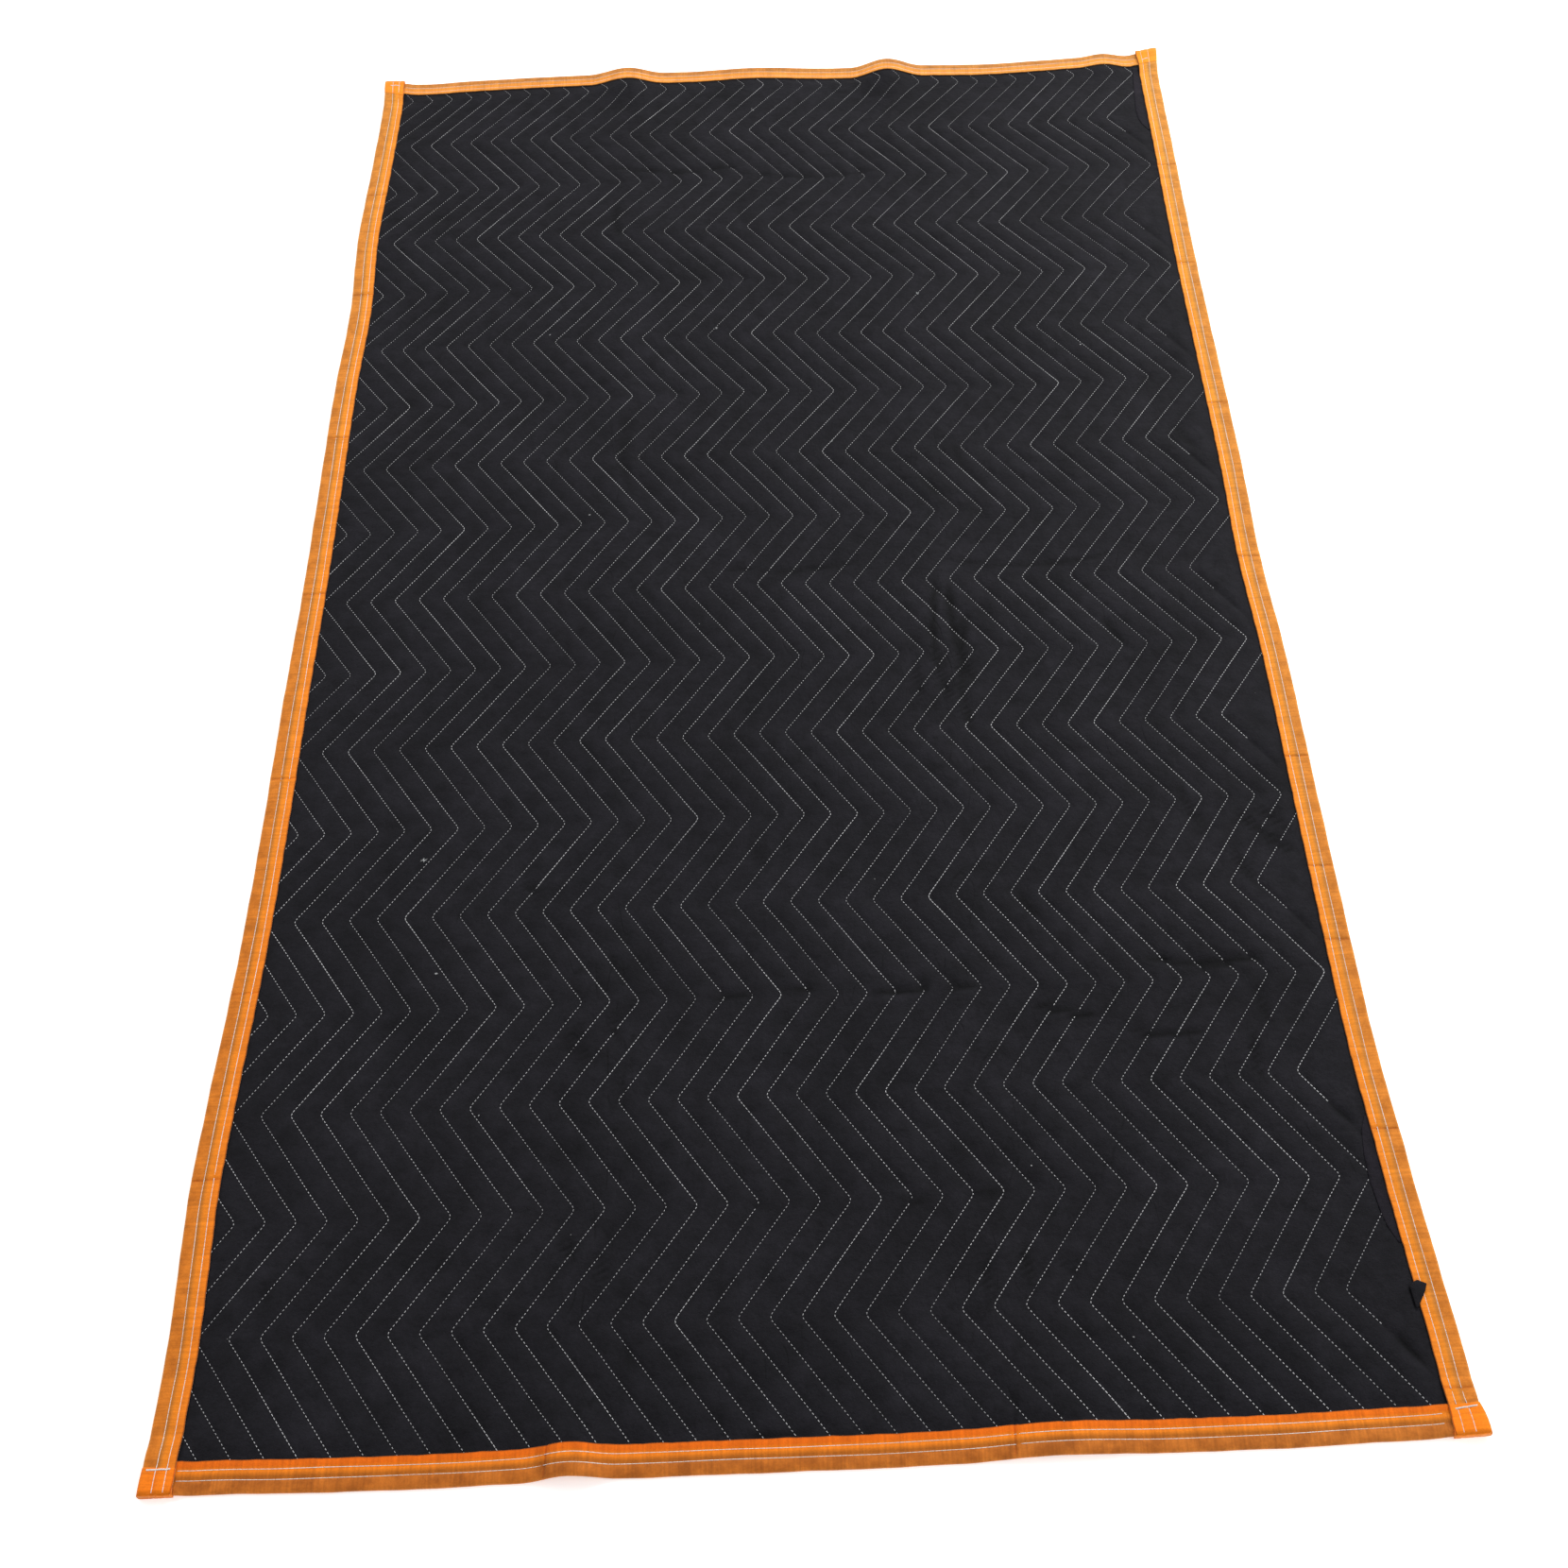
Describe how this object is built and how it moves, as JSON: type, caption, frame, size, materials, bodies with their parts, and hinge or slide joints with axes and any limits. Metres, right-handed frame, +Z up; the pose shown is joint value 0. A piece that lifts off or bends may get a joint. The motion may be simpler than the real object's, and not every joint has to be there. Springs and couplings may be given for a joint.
{
  "type": "moving pad",
  "caption": "Flat quilted moving pad of thin padded cloth with zigzag stitching and a folded binding strip sewn along each edge.",
  "frame": {"origin": "middle of the pad's outline, on the surface that the pad lies on", "axes": "+Y along the pad's length to the end with the taller folds, +X across it to the side with the loose tip of cloth, +Z up out of its face"},
  "size_m": [1.0184, 1.8378, 0.0167],
  "materials": {
    "black_cloth": "matte non-woven cloth",
    "orange_strip": "matte non-woven strip"
  },
  "bodies": {
    "root": {"quilted_panel": "black_cloth", "binding_left": "orange_strip", "binding_right": "orange_strip", "binding_near": "orange_strip", "binding_far": "orange_strip", "selvage_tip": "black_cloth"}
  },
  "joints": []
}
